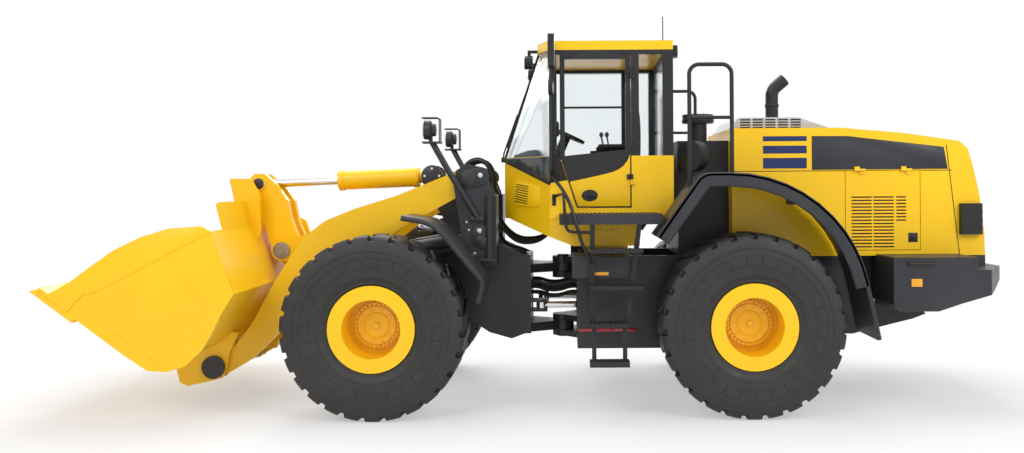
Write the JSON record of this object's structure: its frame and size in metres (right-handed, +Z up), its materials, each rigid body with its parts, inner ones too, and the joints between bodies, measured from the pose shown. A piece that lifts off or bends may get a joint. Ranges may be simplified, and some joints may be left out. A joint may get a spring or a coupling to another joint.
{
  "type": "wheel loader",
  "caption": "Articulated wheel loader: hinged front and rear frames, boom with Z-bar bucket linkage, cab with door, hood with opening side doors, large tyres on axles.",
  "frame": {"origin": "on the ground under the middle of the overall length and width", "axes": "+X toward the rear of the machine, +Y toward its right side, +Z up"},
  "size_m": [8.912, 3.17, 3.7898],
  "materials": {
    "yellow_paint": "gloss yellow paint",
    "graphite_paint": "satin graphite paint",
    "grey_grille": "dark grey louvres",
    "cast_metal": "dark casting",
    "wear_steel": "worn steel",
    "chrome_rod": "hard chrome",
    "tyre_rubber": "black rubber",
    "black_plastic": "matt black",
    "red_lens": "lamp lens",
    "cab_glass": "clear tinted glass",
    "seat_cloth": "dark cloth"
  },
  "bodies": {
    "rear_frame": {"rear_frame": "graphite_paint", "counterweight": "graphite_paint", "tow_hitch": "graphite_paint", "engine": "cast_metal", "transmission": "cast_metal", "rear_axle": "graphite_paint", "hood": "yellow_paint", "top_grille": "grey_grille", "exhaust_stack": "graphite_paint", "hydraulic_tank": "graphite_paint", "air_cleaner": "black_plastic", "rear_fenders": "graphite_paint", "cab_tub": "yellow_paint", "cab_posts": "graphite_paint", "cab_roof": "yellow_paint", "cab_glass": "cab_glass", "windscreen": "cab_glass", "seat": "seat_cloth", "console": "black_plastic", "mirrors": "graphite_paint", "roof_lamps": "black_plastic", "aerial": "graphite_paint", "platforms": "graphite_paint", "tool_boxes": "graphite_paint", "ladders": "graphite_paint", "handrails": "graphite_paint", "tail_lamps": "red_lens"},
    "cab_door": {"cab_door": "graphite_paint", "cab_door_glass": "cab_glass"},
    "hood_door_left": {"hood_door_left": "yellow_paint"},
    "hood_door_right": {"hood_door_right": "yellow_paint"},
    "rear_grille": {"rear_grille": "grey_grille"},
    "front_frame": {"front_frame": "graphite_paint", "front_axle": "graphite_paint", "front_fenders": "graphite_paint", "front_lamps": "graphite_paint"},
    "wheel_front_left": {"tyre_front_left": "tyre_rubber", "rim_front_left": "yellow_paint"},
    "wheel_front_right": {"tyre_front_right": "tyre_rubber", "rim_front_right": "yellow_paint"},
    "wheel_rear_left": {"tyre_rear_left": "tyre_rubber", "rim_rear_left": "yellow_paint"},
    "wheel_rear_right": {"tyre_rear_right": "tyre_rubber", "rim_rear_right": "yellow_paint"},
    "boom": {"boom": "yellow_paint"},
    "bucket_pins": {"bucket_pins": "wear_steel"},
    "bucket": {"bucket": "yellow_paint", "cutting_edge": "wear_steel"},
    "bellcrank_pin": {"bellcrank_pin": "wear_steel"},
    "bellcrank": {"bellcrank": "yellow_paint"},
    "bucket_link": {"bucket_link": "yellow_paint"},
    "tilt_barrel": {"tilt_barrel": "yellow_paint"},
    "tilt_rod": {"tilt_rod": "chrome_rod"},
    "lift_barrels": {"lift_barrels": "graphite_paint"},
    "lift_rods": {"lift_rods": "chrome_rod"},
    "steer_barrel_left": {"steer_barrel_left": "graphite_paint"},
    "steer_barrel_right": {"steer_barrel_right": "graphite_paint"},
    "steer_rod_left": {"steer_rod_left": "chrome_rod"},
    "steer_rod_right": {"steer_rod_right": "chrome_rod"}
  },
  "joints": [
    {"name": "articulation", "type": "hinge", "parent": "rear_frame", "child": "front_frame", "pos_m": [0.258, 0, 0.985], "axis": [0, 0, 1], "range_deg": [-38, 38]},
    {"name": "spin_front_left", "type": "hinge", "parent": "front_frame", "child": "wheel_front_left", "pos_m": [-1.467, -1.15, 0.84], "axis": [0, 1, 0], "continuous": true},
    {"name": "spin_front_right", "type": "hinge", "parent": "front_frame", "child": "wheel_front_right", "pos_m": [-1.467, 1.15, 0.84], "axis": [0, 1, 0], "continuous": true},
    {"name": "spin_rear_left", "type": "hinge", "parent": "rear_frame", "child": "wheel_rear_left", "pos_m": [1.983, -1.15, 0.84], "axis": [0, 1, 0], "continuous": true},
    {"name": "spin_rear_right", "type": "hinge", "parent": "rear_frame", "child": "wheel_rear_right", "pos_m": [1.983, 1.15, 0.84], "axis": [0, 1, 0], "continuous": true},
    {"name": "boom_lift", "type": "hinge", "parent": "front_frame", "child": "boom", "pos_m": [-0.655, 0, 2.194], "axis": [0, 1, 0], "range_deg": [-3, 85]},
    {"name": "bucket_level", "type": "hinge", "parent": "boom", "child": "bucket_pins", "pos_m": [-3.15, 0, 0.378], "axis": [0, -1, 0], "range_deg": [-3.66, 76.48]},
    {"name": "bucket_tilt", "type": "hinge", "parent": "bucket_pins", "child": "bucket", "pos_m": [-3.15, 0, 0.378], "axis": [0, -1, 0], "range_deg": [0, 101]},
    {"name": "bellcrank_level", "type": "hinge", "parent": "boom", "child": "bellcrank_pin", "pos_m": [-2.62, 0, 1.48], "axis": [0, 1, 0], "range_deg": [-2.14, 33.3]},
    {"name": "bellcrank_swing", "type": "hinge", "parent": "bellcrank_pin", "child": "bellcrank", "pos_m": [-2.62, 0, 1.48], "axis": [0, 1, 0], "range_deg": [-1, 35.88]},
    {"name": "link_swing", "type": "hinge", "parent": "bellcrank", "child": "bucket_link", "pos_m": [-2.038, 0, 0.903], "axis": [0, -1, 0], "range_deg": [-1, 81.5]},
    {"name": "tilt_barrel_swing", "type": "hinge", "parent": "front_frame", "child": "tilt_barrel", "pos_m": [-1.088, 0, 2.235], "axis": [0, 1, 0], "range_deg": [-4.48, 99.52]},
    {"name": "tilt_rod_slide", "type": "slide", "parent": "tilt_barrel", "child": "tilt_rod", "axis": [0.9992, 0, 0.0399], "range_m": [-0.001, 0.4257]},
    {"name": "lift_barrel_swing", "type": "hinge", "parent": "front_frame", "child": "lift_barrels", "pos_m": [-0.535, 0, 1.61], "axis": [0, 1, 0], "range_deg": [-3.41, 69.36]},
    {"name": "lift_rod_slide", "type": "slide", "parent": "lift_barrels", "child": "lift_rods", "axis": [-0.9859, 0, -0.1675], "range_m": [-0.0242, 0.6584]},
    {"name": "steer_barrel_left_swing", "type": "hinge", "parent": "rear_frame", "child": "steer_barrel_left", "pos_m": [1.25, -0.32, 0.93], "axis": [0, 0, 1], "range_deg": [-7.83, 7.83]},
    {"name": "steer_rod_left_slide", "type": "slide", "parent": "steer_barrel_left", "child": "steer_rod_left", "axis": [-0.9978, -0.066, 0], "range_m": [-0.2461, 0.2461]},
    {"name": "steer_barrel_right_swing", "type": "hinge", "parent": "rear_frame", "child": "steer_barrel_right", "pos_m": [1.25, 0.32, 0.93], "axis": [0, 0, 1], "range_deg": [-7.83, 7.83]},
    {"name": "steer_rod_right_slide", "type": "slide", "parent": "steer_barrel_right", "child": "steer_rod_right", "axis": [-0.9978, 0.066, 0], "range_m": [-0.2461, 0.2461]},
    {"name": "cab_door_hinge", "type": "hinge", "parent": "rear_frame", "child": "cab_door", "pos_m": [0.925, -0.848, 2.6], "axis": [0, 0, 1], "range_deg": [0, 105]},
    {"name": "hood_door_left_hinge", "type": "hinge", "parent": "rear_frame", "child": "hood_door_left", "pos_m": [3.35, -0.796, 2.258], "axis": [-1, 0, 0], "range_deg": [0, 75]},
    {"name": "hood_door_right_hinge", "type": "hinge", "parent": "rear_frame", "child": "hood_door_right", "pos_m": [3.35, 0.796, 2.258], "axis": [1, 0, 0], "range_deg": [0, 75]},
    {"name": "rear_grille_hinge", "type": "hinge", "parent": "rear_frame", "child": "rear_grille", "pos_m": [4.2184, 0, 2.3845], "axis": [0, -1, 0], "range_deg": [0, 80]}
  ],
  "couplings": [
    {"joint": "bucket_level", "follows": "boom_lift", "ratio": 0.888},
    {"joint": "bellcrank_level", "follows": "boom_lift", "ratio": 0.38},
    {"joint": "bellcrank_swing", "follows": "bucket_tilt", "ratio": 0.3454},
    {"joint": "link_swing", "follows": "bucket_tilt", "ratio": 0.797},
    {"joint": "tilt_barrel_swing", "follows": "boom_lift", "ratio": 1.159},
    {"joint": "tilt_rod_slide", "follows": "bucket_tilt", "m_per_rad": 0.2409},
    {"joint": "lift_barrel_swing", "follows": "boom_lift", "ratio": 0.8042},
    {"joint": "lift_rod_slide", "follows": "boom_lift", "m_per_rad": 0.4431},
    {"joint": "steer_barrel_left_swing", "follows": "articulation", "ratio": 0.1797},
    {"joint": "steer_rod_left_slide", "follows": "articulation", "m_per_rad": -0.3696},
    {"joint": "steer_barrel_right_swing", "follows": "articulation", "ratio": 0.1797},
    {"joint": "steer_rod_right_slide", "follows": "articulation", "m_per_rad": 0.3696}
  ]
}
